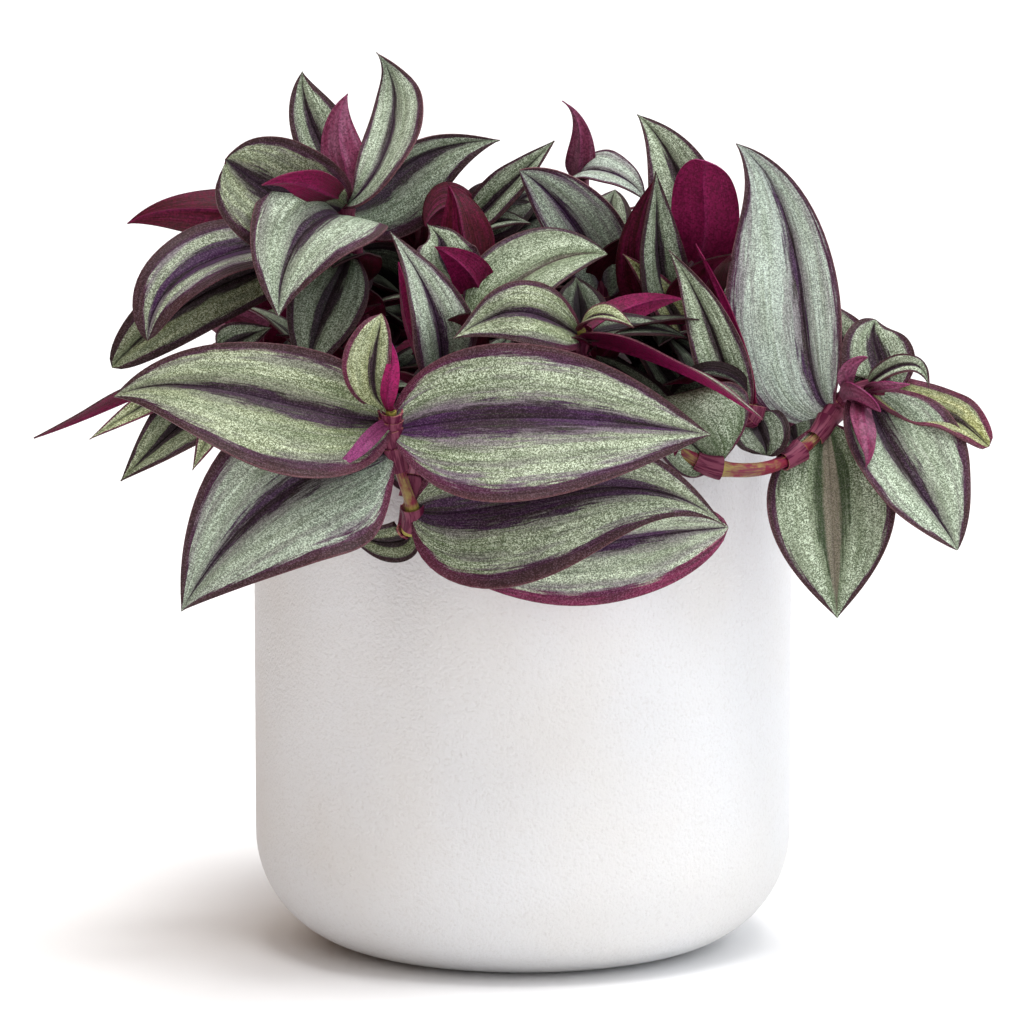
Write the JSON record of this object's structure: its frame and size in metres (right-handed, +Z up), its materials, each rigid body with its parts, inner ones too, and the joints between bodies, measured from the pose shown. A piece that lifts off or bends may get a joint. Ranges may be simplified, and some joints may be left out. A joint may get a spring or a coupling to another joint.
{
  "type": "potted tradescantia",
  "caption": "Round-bottomed cylinder pot of soil with spreading, trailing stems of broad pointed striped leaves; stands on a flat base",
  "frame": {"origin": "centre of the pot's flat underside", "axes": "+Z up along the pot's axis, -Y towards the front where the longest leaves hang over the rim, +X to the right seen from the front"},
  "size_m": [0.2385, 0.2151, 0.2334],
  "materials": {
    "pot": "matte white, fine leathery grain",
    "soil": "crumbly dark potting compost of bark and fibre",
    "foliage": "satin, silver-green and dark purple stripes, purple undersides"
  },
  "bodies": {
    "root": {"pot": "pot", "soil": "soil", "stem_front_left": "foliage", "stem_upper_left": "foliage", "stem_left_centre": "foliage", "stem_back_left": "foliage", "stem_centre_back": "foliage", "stem_centre_front": "foliage", "stem_centre_right": "foliage", "stem_low_right": "foliage", "stem_right_tip": "foliage", "stem_left_back": "foliage", "stem_side_right": "foliage", "stem_right_corner": "foliage", "stem_back_right": "foliage", "stem_back_middle": "foliage", "stem_back_corner": "foliage", "stem_left_corner": "foliage", "stem_side_left": "foliage", "stem_inner_right": "foliage", "stem_inner_back": "foliage", "stem_inner_left": "foliage"}
  },
  "joints": []
}
